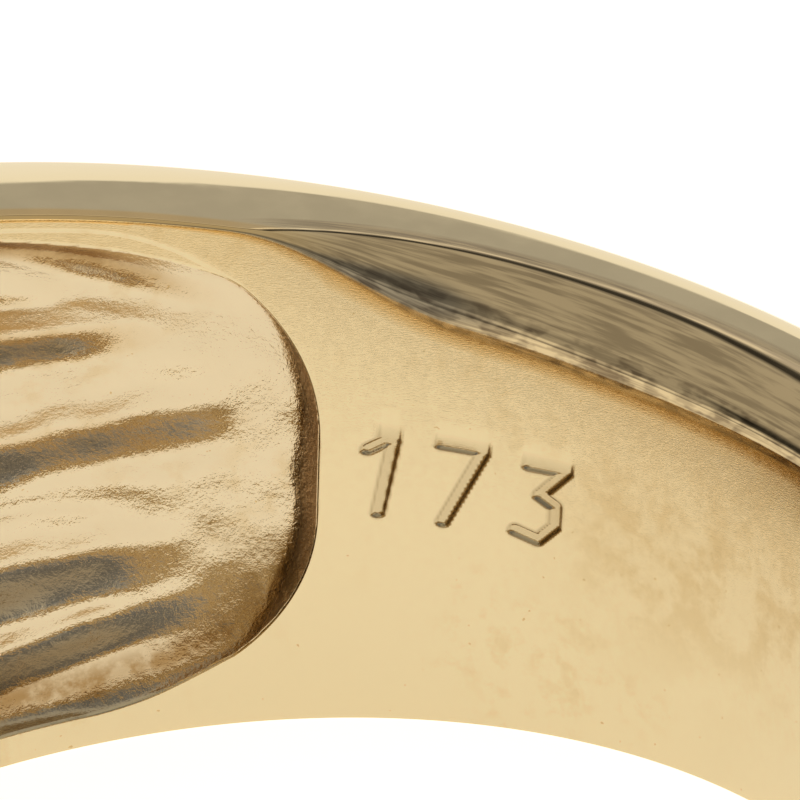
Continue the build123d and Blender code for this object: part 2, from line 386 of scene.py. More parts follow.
def floor_relief(angle, height):
    """Extra depth of the cast floor: at each step it grows quickly with height and falls back slowly.

    A step is a smooth rise less a straight line; a ridge is a bell curve. Both fade out at their ends."""
    turn = np.degrees(np.abs(angle))
    relief = np.zeros(np.broadcast(angle, height).shape)
    for middle, rise, end, half, deep in STEPS:
        off = height - middle - rise * (turn - STEP_ORIGIN)
        fade = smooth_step(end - turn, *STEP_FADE)
        step = smooth_step(off, -half, half) - 0.5 - np.clip(off / STEP_RETURN, -0.5, 0.5)
        relief = relief + deep * fade * step
    for middle, rise, end, half, deep in RIDGES:
        off = height - middle - rise * (turn - STEP_ORIGIN)
        relief = relief - deep * smooth_step(end - turn, *RIDGE_FADE) * bell(off, half)
    return relief


def hollow_depth(angle, height):
    """Depth of the hollow below the finger wall: the least of floor, walls and end, with coved corners.

    The least is the inverse of a sum of inverse powers, and zero where one of them is zero. The relief of
    the floor fades in below the lip."""
    parts = [
        np.maximum(floor_depth(angle, height), 0.02),
        side_depth(angle, height, 1),
        side_depth(angle, height, -1),
        end_depth(angle, height),
    ]
    total = sum((1 / np.maximum(part, 1e-5)) ** COVE for part in parts)
    depth = np.where(np.minimum.reduce(parts) < 2e-5, 0.0, total ** (-1 / COVE))
    on_wall = polar(angle, FINGER_RADIUS, height)
    skin = sum(size * waves(on_wall, wavelength, seed) for size, wavelength, seed in CAST_WAVES)
    return depth + (floor_relief(angle, height) + skin) * smooth_step(depth, *RELIEF_START)


def reach_share(angle):
    """Share of the end's reach that a point of the finger wall lies from the hollow's end."""
    return (FINGER_RADIUS * np.cos(angle) - end_line(FINGER_RADIUS * np.sin(angle))) / END_REACH


def end_angle(share):
    """Angle from the head at which the hollow's outline on the finger wall has this share of the reach."""
    table = np.linspace(HOLLOW_END, HOLLOW_END_START, 900)
    return np.interp(share, reach_share(table), table)


def sharp_limits(angle):
    """Lowest and highest height of the hollow's outline on the wall, kept at the tip's beyond the end."""
    outside = np.cos(angle) < math.cos(HOLLOW_END)
    share = np.where(outside, 0.0, reach_share(angle))
    half = np.interp(np.clip(share, 0, 1), END_SHARE, END_HALF)
    y = FINGER_RADIUS * np.minimum(np.abs(np.sin(angle)), math.sin(HOLLOW_END))
    y = np.where(outside, FINGER_RADIUS * math.sin(HOLLOW_END), y)
    span = np.where((share >= 1) | (y < END_Y), FAR, half * end_half(y))
    low = np.maximum(side_limit(angle, -1), HOLLOW_SHIFT - span)
    high = np.minimum(side_limit(angle, 1), HOLLOW_SHIFT + span)
    return low, high


def outline_limits(angle):
    """The outline with the corner between its side and its end worn round: a mean over nearby angles."""
    reach = OUTLINE_WEAR * (1 - beyond(angle, *OUTLINE_WEAR_FADE))
    near = [sharp_limits(angle + share * reach) for share in np.linspace(-1, 1, 9)]
    return tuple(np.mean(limit, axis=0) for limit in zip(*near))


def rim_width(angle, side):
    """How wide the softened rim is, outwards along the side face; only the upper rim is softened.

    It grows from the hollow's end to the back, as one less a falling exponential."""
    past = np.maximum(np.abs(angle) - RIM_START, 0) * (side > 0)
    return RIM_WIDTH * (1 - np.exp(-past / RIM_GROWTH))


def rim_drop(angle, side):
    """How far the softened rim has fallen at the finger wall: fast past the hollow's end, less behind."""
    loss = RIM_BACK_LOSS * beyond(angle, *RIM_BACK_START)
    return RIM_DROP * beyond(angle, *RIM_DROP_START) * (1 - loss) * (side > 0)


def rim_fall(angle, out, side):
    """How far the softened rim lies below the side face at a distance out from the wall: a parabola."""
    width = np.maximum(rim_width(angle, side), 0.02)
    return rim_drop(angle, side) * np.clip(1 - out / width, 0, 1) ** 2


def rim_rows(angle, side):
    """Rows from a side face over its inner rim to the finger wall, as (reach, height) for each angle.

    One parabola falls from the side face, and a second one turns down into the wall."""
    width = rim_width(angle, side)
    worn = WORN_CORNER * np.clip(width / WORN_CORNER_WIDTH, 0, 1)
    corner = (UPPER_CORNER if side > 0 else LOWER_CORNER) + worn
    fall = rim_fall(angle, 0 * angle, side)
    rows = []
    for t in np.linspace(0, 1, RIM_STEPS):
        out = corner + (width + RIM_MARGIN - corner) * (1 - t) ** 1.3
        rows.append((out, rim_fall(angle, out, side)))
    start = rows[-1][1]
    for t in np.linspace(0, 1, CREASE_STEPS + 1)[1:]:
        down = (1 - t) ** 2 * start + 2 * t * (1 - t) * fall + t**2 * (fall + corner)
        rows.append(((1 - t) ** 2 * corner, down))
    placed = []
    for out, down in rows:
        reach = FINGER_RADIUS + out
        placed.append((reach, side * (face_height(reach * np.cos(angle)) - down / math.cos(TAPER))))
    return placed


def even_shares(count):
    """Shares of the end's reach at points spread evenly along the hollow's end curve."""
    lengths = np.hypot(np.diff(END_SHARE) * END_REACH, np.diff(END_HALF) * MIDDLE_WIDTH / 2)
    along = np.concatenate([[0.0], np.cumsum(lengths)])
    return np.interp(np.linspace(0, along[-1], count), along, END_SHARE)


def inner_angles():
    """Columns of the inner surface: close together at the hollow's ends and where the number is struck."""
    shares = even_shares(52)
    near_end = np.degrees(end_angle(shares[shares > 0.002]))
    far_end = np.degrees(end_angle(even_shares(36)[1:]))
    near_side = -np.concatenate([
        np.arange(178.0, 151.0, -2.0),
        np.arange(150.0, 121.0, -1.0),
        np.linspace(120.5, 96.4, 102),
        [96.0, 95.5, 95.15, 94.85, 94.65],
        near_end,
        np.linspace(near_end.min(), 50, 27)[1:],
    ])
    middle = np.linspace(-50, 50, 72)[1:]
    far_side = np.concatenate([
        np.linspace(50, far_end.min(), 16)[1:-1],
        far_end,
        [94.65, 95.2, 96.2, 98.0],
        np.arange(100.0, 180.1, 2.5),
    ])
    return np.radians(np.unique(np.round(np.concatenate([near_side, middle, far_side]), 4)))


def margin_rows(edge, lip):
    """Rows of the finger wall between a rim and a lip."""
    return [(FINGER_RADIUS, edge + (lip - edge) * t) for t in np.linspace(0, 1, MARGIN_STEPS + 2)[1:-1]]


def lip_rows(wall, outline, first, deep):
    """Rows over a lip: a parabola from the finger wall, past the outline, to the hollow's first row."""
    rows = []
    for t in LIP_STEPS:
        height = (1 - t) ** 2 * wall + 2 * t * (1 - t) * outline + t**2 * first
        rows.append((FINGER_RADIUS + t**2 * deep, height))
    return rows


def inner_rows(angle):
    """The inner surface from the upper side face down to the lower one: rims, finger wall, lips and hollow.

    Inside the hollow the rows crowd towards its outline: an even run less a share of a sine wave."""
    upper, lower = rim_rows(angle, 1), rim_rows(angle, -1)
    low, high = outline_limits(angle)
    inside = np.cos(angle) > math.cos(HOLLOW_END)
    gap = np.where(inside, ROW_GAP, 0.4 * ROW_GAP)
    crowd = np.where(inside, ROW_CROWD, 0.0)
    span = high - low - 2 * gap
    even = np.linspace(0, 1, HOLLOW_STEPS)
    middle = [high - gap - span * (u - crowd * np.sin(2 * math.pi * u) / (2 * math.pi)) for u in even]
    depths = [np.where(inside, hollow_depth(angle, height), 0.0) for height in middle]
    rows = upper + margin_rows(upper[-1][1], high + LIP)
    rows += lip_rows(high + LIP, high, middle[0], depths[0])
    rows += [(FINGER_RADIUS + depth, height) for depth, height in zip(depths, middle)]
    rows += lip_rows(low - LIP, low, middle[-1], depths[-1])[::-1]
    rows += margin_rows(lower[-1][1], low - LIP)[::-1]
    rows += lower[::-1]
    reach = np.stack([r + 0 * angle for r, h in rows])
    height = np.stack([h + 0 * angle for r, h in rows])
    return reach, height


def outer_angles():
    """Columns of the outer surface: closest over the head, coarser round the shank."""
    return np.radians(np.concatenate([
        np.arange(-178.0, -151.0, 3.0),
        np.arange(-150.0, -74.5, 1.5),
        np.linspace(-74, 74, 258),
        np.arange(76.0, 181.0, 3.0),
    ]))


def edge_slope_drop(angle, reach, corner):
    """How far a side face slopes down near its outer edge: a power of 1.5, widest beside the head."""
    width = SLOPE_WIDTH + HEAD_SLOPE_WIDTH * (1 - beyond(angle, *HEAD_SLOPE_FADE))
    past = np.clip(reach - (corner - width), 0, 2 * width)
    return EDGE_SLOPE * past**1.5 / np.sqrt(width)


def edge_corner(angle, side):
    """Where a side face would meet the dome, as (reach, height), found by repeated correction."""
    reach = np.full_like(angle, CROWN_RADIUS)
    for _ in range(CORNER_ROUNDS):
        height = face_height(reach * np.cos(angle))
        reach = 0.5 * reach + 0.5 * outer_reach(angle, side * height)
    return reach, height


def edge_rows(angle, side):
    """Rows from a side face's inner margin out to its edge and over the edge to the dome.

    The rounded edge is a conic: the weighted mean of the face, the corner and the dome."""
    start = FINGER_RADIUS + rim_width(angle, side) + RIM_MARGIN
    reach, height = edge_corner(angle, side)
    lean = CORNER_LEAN * EDGE_ROUND
    inner = reach - lean
    wide = height - lean * CORNER_DROP
    dome = outer_reach(angle, side * wide)
    rows = []
    for t in np.linspace(0, 1, FACE_STEPS + 1)[1:]:
        r = start + (inner - start) * t
        rows.append((r, side * (face_height(r * np.cos(angle)) - edge_slope_drop(angle, r, reach))))
    for t in np.linspace(0, 1, EDGE_STEPS + 1)[1:]:
        share = (1 - t) ** 2, 2 * CORNER_WEIGHT * t * (1 - t), t**2
        r = (share[0] * inner + share[1] * reach + share[2] * dome) / sum(share)
        h = (share[0] * face_height(inner * np.cos(angle)) + share[1] * height + share[2] * wide) / sum(share)
        rows.append((r, side * (h - edge_slope_drop(angle, r, reach) * (1 - t**2))))
    return rows


def outer_rows(angle):
    """The outer surface from the lower side face, over its edge, the dome and bands, to the upper face."""
    lower, upper = edge_rows(angle, -1), edge_rows(angle, 1)
    low, high = lower[-1][1], upper[-1][1]
    heights = [low + (high - low) * t for t in np.linspace(0, 1, DOME_STEPS + 2)[1:-1]]
    rows = lower + [(outer_reach(angle, h), h) for h in heights] + upper[::-1]
    return np.stack([r for r, h in rows]), np.stack([h for r, h in rows])


def grid_faces(rows, columns, first):
    """Four-sided faces of a grid of rows that each close into a ring, numbered from a first vertex."""
    j, i = np.meshgrid(np.arange(rows - 1), np.arange(columns), indexing="ij")
    this, after = j * columns + i, j * columns + (i + 1) % columns
    quads = np.stack([this, after, after + columns, this + columns], axis=-1)
    return quads.reshape(-1, 4) + first


def vertex_before(angles, ends, side):
    """Number of a ring's last vertex before each angle; one at that very angle counts with side right."""
    found = (np.searchsorted(angles, ends, side=side) - 1) % len(angles)
    turned = ends - 2 * math.pi
    wrapped = turned > angles[0] if side == "left" else turned >= angles[0]
    return np.where(ends > angles[-1] + 1e-12, np.where(wrapped, 0, len(angles) - 1), found)


def joining_faces(a_angles, b_angles, a_first, b_first):
    """Triangles that join two rings with different columns.

    Each edge of a ring is joined to the other ring's last vertex before the edge's end."""
    a, b = np.arange(len(a_angles)), np.arange(len(b_angles))
    a_end = np.append(a_angles[1:], a_angles[0] + 2 * math.pi)
    b_end = np.append(b_angles[1:], b_angles[0] + 2 * math.pi)
    b_at, a_at = vertex_before(b_angles, a_end, "left"), vertex_before(a_angles, b_end, "right")
    one = np.stack([a_first + a, a_first + np.roll(a, -1), b_first + b_at], axis=1)
    two = np.stack([a_first + a_at, b_first + np.roll(b, -1), b_first + b], axis=1)
    return np.concatenate([one, two])


def stone_frames(more=0):
    """Place on the gold and the three axes of each stone, in the ring's own frame, as the part sets them.

    With one more place in each row, the places fall between the stones and beyond the last ones."""
    frames = []
    for row, turn in enumerate(fan_angles()):
        count = STONES_IN_MIDDLE - abs(row - (BAND_COUNT - 1) // 2) + more
        radius, shift = band_top(turn)
        lean = STONE_LEAN * math.asin((FAN + CROWN_HEIGHT) * math.tan(turn) / CROWN_CURVE)
        around = (np.arange(count) - (count - 1) / 2) * STONE_PITCH / radius
        c, s = math.cos(turn), math.sin(turn)
        x_axis, y_axis, z_axis = np.array([c, 0, s]), np.array([0.0, 1.0, 0.0]), np.array([-s, 0, c])
        origin = np.array([0, 0, FAN * math.tan(turn)])
        for a in around:
            out = math.cos(a) * x_axis + math.sin(a) * y_axis
            along = -math.sin(a) * x_axis + math.cos(a) * y_axis
            place = origin + shift * x_axis + radius * out
            normal = math.cos(lean) * out + math.sin(lean) * z_axis
            across = math.cos(lean) * z_axis - math.sin(lean) * out
            frames.append((place, along, across, normal))
    return [np.array(v) for v in zip(*frames)]


STONES = stone_frames()


def sink_seats(points):
    """Presses a cup for each stone into the outer surface: a cone below the girdle, about the stone's axis.

    Points above the cup move down along that axis, and points below it stay."""
    place, _, _, normal = STONES
    radius = STONE_DIAMETER / 2 - SEAT_CLEARANCE
    deep = STONE_DIAMETER * (STONE_GIRDLE + STONE_PAVILION) + 2 * SEAT_CLEARANCE
    shoulder = STONE_DIAMETER * STONE_GIRDLE + SEAT_CLEARANCE
    for centre, axis in zip(place, normal):
        near = np.abs(points - centre).max(-1) < 2 * radius
        v = points[near] - centre
        up = v @ axis
        off = np.linalg.norm(v - up[:, None] * axis, axis=1)
        level = GIRDLE_SINK - shoulder - (1 - np.clip(off / radius, 0, 1)) * (deep - shoulder)
        level = np.where(off < radius, level, FAR)
        v = v + (np.minimum(up, level) - up)[:, None] * axis
        points[near] = centre + v
    return points


def new_piece(name, vertices, faces, material):
    """A smooth-shaded mesh piece of the row frame that rides on the ring."""
    mesh = bpy.data.meshes.new(name)
    mesh.from_pydata(vertices.tolist(), [], [f for group in faces for f in group.tolist()])
    mesh.shade_smooth()
    mesh.materials.append(material)
    mesh.validate()
    piece = bpy.data.objects.new(name, mesh)
    bpy.context.scene.collection.objects.link(piece)
    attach(piece, "root")
    return piece


def lathe_points(frames, profile, steps):
    """Points of one turned shape set at every frame: distance from the axis and height, carried round it."""
    turn = np.arange(steps) * 2 * math.pi / steps
    place, along, across, normal = (v[:, None, None, :] for v in frames)
    out, up = profile[:, 0, None, None], profile[:, 1, None, None]
    around = np.cos(turn)[:, None] * along + np.sin(turn)[:, None] * across
    return place + out * around + up * normal


def ring_faces(rows, steps, many, closed):
    """Four-sided faces between the rows of many turned shapes.

    In a closed shape the last row is joined to the first."""
    one = grid_faces(rows, steps, 0)
    if closed:
        i = np.arange(steps)
        after = (i + 1) % steps
        last = (rows - 1) * steps
        one = np.concatenate([one, np.stack([last + i, last + after, after, i], axis=-1)])
    return (one[None] + (np.arange(many) * rows * steps)[:, None, None]).reshape(-1, 4)


def collets(material):
    """A thin raised rim round every stone: a closed profile turned about the stone's axis."""
    points = lathe_points(STONES, np.array(COLLET), COLLET_SIDES)
    faces = ring_faces(len(COLLET), COLLET_SIDES, len(STONES[0]), True)
    return new_piece("collets", to_row(points.reshape(-1, 3)), [faces], material)


def grains(material):
    """Small round grains that hold the stones, two in each gap of a row.

    Each is a half circle turned about its axis, closed by a fan of triangles at either pole."""
    place, along, across, normal = stone_frames(1)
    frames = [np.concatenate([place + side * GRAIN_ASIDE * across - GRAIN_SINK * normal for side in (-1, 1)])]
    frames += [np.concatenate([v, v]) for v in (along, across, normal)]
    lift = np.linspace(math.pi / 2, -math.pi / 2, GRAIN_ROWS)[1:-1]
    profile = GRAIN_RADIUS * np.stack([np.cos(lift), np.sin(lift) + GRAIN_RISE], axis=1)
    points = lathe_points(frames, profile, GRAIN_SIDES)
    many, rows, steps = points.shape[:3]
    poles = np.stack([frames[0] + GRAIN_RADIUS * (GRAIN_RISE + end) * frames[3] for end in (1, -1)], axis=1)
    first = (np.arange(many) * rows * steps)[:, None]
    last = first + (rows - 1) * steps
    i = np.arange(steps)[None, :]
    after = (i + 1) % steps
    top = many * rows * steps + 2 * np.arange(many)[:, None] + 0 * i
    caps = [
        np.stack([top, first + after, first + i], axis=-1).reshape(-1, 3),
        np.stack([top + 1, last + i, last + after], axis=-1).reshape(-1, 3),
    ]
    vertices = np.concatenate([points.reshape(-1, 3), poles.reshape(-1, 3)])
    faces = [ring_faces(rows, steps, many, False)] + caps
    return new_piece("grains", to_row(vertices), faces, material)


def stroke_distance(angle, reach, height):
    """Distance of points on the finger wall from the nearest stroke line of the struck number."""
    up = height - STAMP_BASE
    along = (STAMP_START - angle) * FINGER_RADIUS - up * STAMP_SLANT
    p = np.stack([along, up], axis=-1)
    nearest = np.full(p.shape[:-1], FAR)
    for x0, y0, x1, y1 in STROKES:
        a, b = np.array([x0, y0]) * STAMP_HEIGHT, np.array([x1, y1]) * STAMP_HEIGHT
        t = np.clip((p - a) @ (b - a) / ((b - a) @ (b - a)), 0, 1)
        nearest = np.minimum(nearest, np.linalg.norm(p - (a + t[..., None] * (b - a)), axis=-1))
    in_place = (angle > STAMP_LIMITS[0]) & (angle < STAMP_LIMITS[1]) & (np.abs(reach - FINGER_RADIUS) < 1e-6)
    return np.where(in_place, nearest, FAR)


def rim_fields(angles, reach, height):
    """The softened rim: where its painted reflection lies, the way across and along it, and the painted
    highlight line at its foot and along the crease where the rim is not softened.
    """
    first = RIM_STEPS + CREASE_STEPS
    soft = np.clip(rim_width(angles, 1) / RIM_FULL, 0, 1)
    rim, across = np.zeros(reach.shape), np.zeros(reach.shape)
    rim[1 : first - 1] = soft
    across[:first] = np.linspace(0, 1, first)[:, None]
    below = height[first - 1] - height
    # Painted highlight: a bright line just below the softened rim, and along the crease where the rim is not
    # softened
    glow = bell(np.maximum(below, 0), HIGHLIGHT_WIDTH) * soft
    glow[: first - 1] = 0
    crease = (1 - smooth_step(reach - FINGER_RADIUS, *CREASE_REACH)) * (1 - soft)
    glow = np.maximum(glow, crease * (height > 0) * (below < 0.02))
    along = np.broadcast_to(angles, reach.shape) * FINGER_RADIUS
    return {"soft_rim_reflection": rim, "rim_across": across, "rim_along": along, "rim_painted_highlight": glow}


def wall_fields(angles, reach, height):
    """The finger wall and the hollow, and what is darker in them by stain, wear or painted shade.

    The flanks are where the floor's relief changes quickly. The side bands of painted shade are bell curves
    along the hollow's outline, and the worn stretch of the finger wall is another, past the number. The low
    part of the hollow's end gets painted shade as well."""
    first = RIM_STEPS + CREASE_STEPS
    angle = np.broadcast_to(angles, reach.shape)
    wall = np.zeros(reach.shape)
    wall[first - 2 : 2 - first] = 1.0
    inside = (np.cos(angle) > math.cos(HOLLOW_END)) & (reach - FINGER_RADIUS > 0.03)
    inside[: first + MARGIN_STEPS] = False
    inside[-first - MARGIN_STEPS :] = False
    turn = -np.degrees(angle)
    bottom, top = outline_limits(angles)
    fall = np.minimum(np.gradient(height, axis=0), -1e-4)
    flank = np.clip(np.gradient(floor_relief(angle, height), axis=0) / fall, 0, 1)
    upper_band = UPPER_BAND + UPPER_BAND_SHIFT * (turn - UPPER_BAND_TURN)
    under = bell(top - height - upper_band, UPPER_BAND_WIDTH) * (1 - smooth_step(turn, *UPPER_BAND_FADE))
    over = bell(height - bottom - LOWER_BAND, LOWER_BAND_WIDTH) * (1 - smooth_step(turn, *LOWER_BAND_FADE))
    end_wall = smooth_step(floor_depth(angle, height) - end_depth(angle, height), *END_WALL_BLEND)
    # Painted shade at the low part of the hollow's end
    low_end_shade = smooth_step(turn, *LOW_END_START) * smooth_step(-height, *LOW_END_HEIGHT)
    worn = smooth_step(turn, *WORN_START) * bell(height - WORN_MIDDLE, WORN_WIDTH)
    return {
        "finger_wall": wall,
        "cast_hollow": inside.astype(float),
        "step_flank": flank * inside,
        "side_shade_bands": np.maximum(under, over) * inside,
        "end_wall": end_wall * (turn > END_WALL_START) * inside,
        "low_end_shade": low_end_shade * inside,
        "worn_wall": worn * (wall - inside),
    }


def casting(material):
    """The whole gold casting as one closed skin: inner rows, outer rows, and a strip between on each face."""
    a_angles, b_angles = inner_angles(), outer_angles()
    reach, height = inner_rows(a_angles)
    angle = np.broadcast_to(a_angles, reach.shape)
    off_edge = stroke_distance(angle, reach, height) - STROKE_HALF
    reach = reach + STAMP_DEPTH * (1 - smooth_step(off_edge, *STROKE_SIDE))
    o_reach, o_height = outer_rows(b_angles)
    inner = polar(angle, reach, height).reshape(-1, 3)
    outer = sink_seats(polar(np.broadcast_to(b_angles, o_reach.shape), o_reach, o_height).reshape(-1, 3))
    faces = [
        grid_faces(*reach.shape, 0),
        grid_faces(*o_reach.shape, len(inner)),
        joining_faces(a_angles, b_angles, len(inner) - len(a_angles), len(inner)),
        joining_faces(b_angles, a_angles, len(inner) + len(outer) - len(b_angles), 0),
    ]
    points = np.concatenate([inner, outer])
    piece = new_piece("ring_casting", to_row(points), faces, material)
    fields = {
        "struck": 1 - smooth_step(off_edge, *STROKE_TINT),
        # A line of painted shade along the edges of the number's strokes
        "stroke_edge_shade": bell(off_edge, STROKE_SHADE_LINE),
        **rim_fields(a_angles, reach, height),
        **wall_fields(a_angles, reach, height),
    }
    for name, values in fields.items():
        field = np.zeros(len(points), np.float32)
        field[: len(inner)] = values.ravel()
        piece.data.attributes.new(name, "FLOAT", "POINT").data.foreach_set("value", field)
    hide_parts("ring_body")
    return piece


class Recipe:
    """A node tree and the few helpers that a finish or the studio needs."""

    def __init__(self, tree):
        self.tree = tree

    def add(self, kind, links=(), **settings):
        """A new node with its settings and socket values, and the results linked to its sockets."""
        node = self.tree.nodes.new(kind)
        for key, value in settings.items():
            if key in node.inputs:
                node.inputs[key].default_value = value
            else:
                setattr(node, key, value)
        for key, source in dict(links).items():
            self.tree.links.new(source, node.inputs[key])
        return node

    def spread(self, source, low, high, to_low, to_high, shape="SMOOTHSTEP"):
        """Maps a range onto another, with a smooth step unless another shape is asked for."""
        limits = {"From Min": low, "From Max": high, "To Min": to_low, "To Max": to_high}
        return self.add("ShaderNodeMapRange", {0: source}, interpolation_type=shape, **limits).outputs[0]

    def maths(self, operation, a, b):
        """One operation on two numbers, each a constant or another node's result."""
        node = self.add("ShaderNodeMath", operation=operation)
        for i, value in enumerate((a, b)):
            if isinstance(value, (int, float)):
                node.inputs[i].default_value = value
            else:
                self.tree.links.new(value, node.inputs[i])
        return node.outputs[0]

    def times(self, a, b):
        return self.maths("MULTIPLY", a, b)

    def blend(self, factor, a, b):
        """One number where the factor is 0 and another where it is 1."""
        return self.maths("ADD", self.times(factor, b), self.times(self.maths("SUBTRACT", 1.0, factor), a))

    def dot(self, place, direction):
        """How far a place lies along a direction."""
        node = self.add("ShaderNodeVectorMath", {0: place}, operation="DOT_PRODUCT")
        node.inputs[1].default_value = direction
        return node.outputs["Value"]


class Finish(Recipe):
    """A material whose patterns follow the object's own place, with the shader it starts from."""

    def __init__(self, name):
        self.material = bpy.data.materials.new(name)
        self.material.use_nodes = True
        super().__init__(self.material.node_tree)
        self.shader = self.tree.nodes["Principled BSDF"]
        self.place = self.add("ShaderNodeTexCoord").outputs["Object"]

    def set(self, name, value):
        """A constant or another node's result for one of the shader's own sockets."""
        if isinstance(value, bpy.types.NodeSocket):
            self.tree.links.new(value, self.shader.inputs[name])
        else:
            self.shader.inputs[name].default_value = value

    def noise(self, grain, detail=3.0, rough=0.6, stretch=None):
        """Noise whose grain is a size in millimetres."""
        source = self.place
        if stretch is not None:
            source = self.add("ShaderNodeMapping", {0: source}, Scale=stretch).outputs[0]
        settings = {"Scale": 1 / (grain * MM), "Detail": detail, "Roughness": rough}
        return self.add("ShaderNodeTexNoise", {"Vector": source}, **settings).outputs["Fac"]

    def noise_on(self, x, y, detail):
        """Noise of unit grain on a flat place of two numbers."""
        place = self.add("ShaderNodeCombineXYZ", {"X": x, "Y": y}).outputs[0]
        return self.add("ShaderNodeTexNoise", {"Vector": place}, Scale=1.0, Detail=detail).outputs["Fac"]

    def bump(self, height, distance, normal=None):
        """Normal of a relief with this depth in metres, on top of another normal where one is given."""
        links = {"Height": height} if normal is None else {"Height": height, "Normal": normal}
        return self.add("ShaderNodeBump", links, Distance=distance, Strength=1.0).outputs["Normal"]

    def colours(self, factor, a, b):
        """Mixes a fixed colour or another node's colour with a fixed one."""
        node = self.add("ShaderNodeMix", {"Factor": factor}, data_type="RGBA")
        if isinstance(a, tuple):
            node.inputs[6].default_value = (*a, 1)
        else:
            self.tree.links.new(a, node.inputs[6])
        node.inputs[7].default_value = (*b, 1)
        return node.outputs[2]

    def attribute(self, name):
        return self.add("ShaderNodeAttribute", attribute_name=name).outputs["Fac"]


# Colours of the gold: clean, stained, the painted reflection and highlight on the softened rim, and browned
# or with painted shade in the hollow
POLISHED_GOLD, WALL_GOLD, CAST_GOLD = (0.83, 0.665, 0.376), (0.735, 0.588, 0.332), (0.715, 0.580, 0.362)
# The struck number's brown is its strokes' own tint, and also painted shade along their edges
STAIN, WORN_BROWN, STRUCK_BROWN_AND_SHADE = (0.62, 0.44, 0.20), (0.60, 0.43, 0.20), (0.30, 0.20, 0.09)
# Painted reflection and highlight on the softened rim: its tan, its dark streaks and the bright line below it
RIM_REFLECTION_TAN, RIM_REFLECTION_STREAK, RIM_HIGHLIGHT = (0.72, 0.50, 0.24), (0.24, 0.165, 0.085), (0.86, 0.56, 0.20)
# Brown of the steps' flanks, and the painted shade of the bands along the hollow's sides
FLANK_BROWN, SIDE_BAND_SHADE = (0.50, 0.30, 0.10), (0.34, 0.20, 0.07)
# Tan of the end wall, and painted shade at the low part of the hollow's end
END_TAN, END_LOW_SHADE = (0.62, 0.37, 0.16), (0.36, 0.24, 0.10)
# Roughness of the outside, the finger wall and the hollow, and the least on the steps' flanks and end wall
POLISHED, SCRATCHED, AS_CAST = (0.03, 0.06), (0.14, 0.22), (0.07, 0.18)
FLANK_ROUGHNESS, END_ROUGHNESS = 0.27, 0.48
# Depth in metres of the cast skin's orange peel, and of the scratches on the finger wall
PEEL_DEPTH, SCRATCH_DEPTH = 0.000015, 0.0000012
STONE_IOR = 2.3

# Floor: half its side and its level in metres, its glow, and how far the soft shadow dims that. The shadow
# starts over the first two distances from the middle and fades over the last two, in millimetres.
FLOOR_SIZE, FLOOR_LEVEL, FLOOR_GLOW, SHADOW_DEPTH = 3, -0.00001, 0.80, 0.46
SHADOW_START, SHADOW_FADE = (9.2, 11.2), (12.0, 25.0)


def wall_colour(gold, wall, hollow):
    """Gold of the outside, the finger wall and the hollow, with stains, worn blotches, the number, and
    painted shade along the number's stroke edges.
    """
    clouds = gold.spread(gold.noise(2.6, 2.0), 0.50, 0.66, 0.0, 1.0)
    grain = gold.spread(gold.noise(0.35, 4.0), 0.45, 0.70, 0.0, 1.0)
    speck = gold.spread(gold.noise(0.10, 1.0), 0.76, 0.80, 0.0, 1.0)
    stain = gold.times(gold.maths("MAXIMUM", gold.times(gold.times(clouds, grain), 0.4), speck), wall)
    blotch = gold.spread(gold.noise(0.9, 5.0, 0.7), 0.40, 0.62, 0.25, 1.0)
    worn = gold.times(gold.attribute("worn_wall"), blotch)
    # The number: its strokes' own brown tint, and a line of painted shade along their edges
    struck, edge = gold.times(gold.attribute("struck"), 0.30), gold.times(gold.attribute("stroke_edge_shade"), 0.6)
    colour = gold.colours(wall, POLISHED_GOLD, WALL_GOLD)
    colour = gold.colours(hollow, colour, CAST_GOLD)
    colour = gold.colours(stain, colour, STAIN)
    colour = gold.colours(gold.times(worn, 0.85), colour, WORN_BROWN)
    return gold.colours(gold.maths("MAXIMUM", struck, edge), colour, STRUCK_BROWN_AND_SHADE)


def rim_painted_reflection(gold, colour):
    """Painted reflection on the softened rim: tan with long dark streaks along it, beaded on its lower half,
    and a painted highlight line below.
    """
    rim = gold.attribute("soft_rim_reflection")
    along, across = gold.attribute("rim_along"), gold.attribute("rim_across")
    # Painted reflection: dark streaks and beads as if mirrored in the softened rim, over its tan
    streak = gold.noise_on(gold.times(along, 0.9), gold.times(across, 22.0), 4.0)
    streak = gold.spread(streak, 0.40, 0.62, 0.0, 1.0)
    bead = gold.noise_on(gold.times(along, 3.2), gold.times(across, 9.0), 2.0)
    bead = gold.times(gold.spread(bead, 0.42, 0.60, 0.0, 1.0), gold.spread(across, 0.55, 0.75, 0.0, 1.0))
    dark = gold.maths("ADD", gold.times(streak, 0.55), gold.times(bead, 0.45))
    colour = gold.colours(gold.times(rim, 0.55), colour, RIM_REFLECTION_TAN)
    colour = gold.colours(gold.times(dark, rim), colour, RIM_REFLECTION_STREAK)
    return gold.colours(gold.times(gold.attribute("rim_painted_highlight"), 0.8), colour, RIM_HIGHLIGHT)


def hollow_colour(gold, colour, flank, end_wall):
    """Browner gold on the steps' flanks and on the end wall, and painted shade along the hollow's sides and
    at the low part of its end.
    """
    colour = gold.colours(gold.times(flank, 0.75), colour, FLANK_BROWN)
    # Painted shade in bands along the hollow's sides, made blotchy by noise
    blotch = gold.spread(gold.noise(0.45, 4.0, 0.7), 0.36, 0.60, 0.50, 1.0)
    bands = gold.times(gold.attribute("side_shade_bands"), blotch)
    colour = gold.colours(gold.times(bands, 0.95), colour, SIDE_BAND_SHADE)
    colour = gold.colours(gold.times(end_wall, 0.8), colour, END_TAN)
    # Painted shade, made blotchy by noise, at the low part of the hollow's end
    blotch = gold.spread(gold.noise(0.5, 4.0, 0.7), 0.38, 0.62, 0.2, 1.0)
    shade = gold.times(gold.attribute("low_end_shade"), blotch)
    return gold.colours(gold.times(shade, 0.7), colour, END_LOW_SHADE)


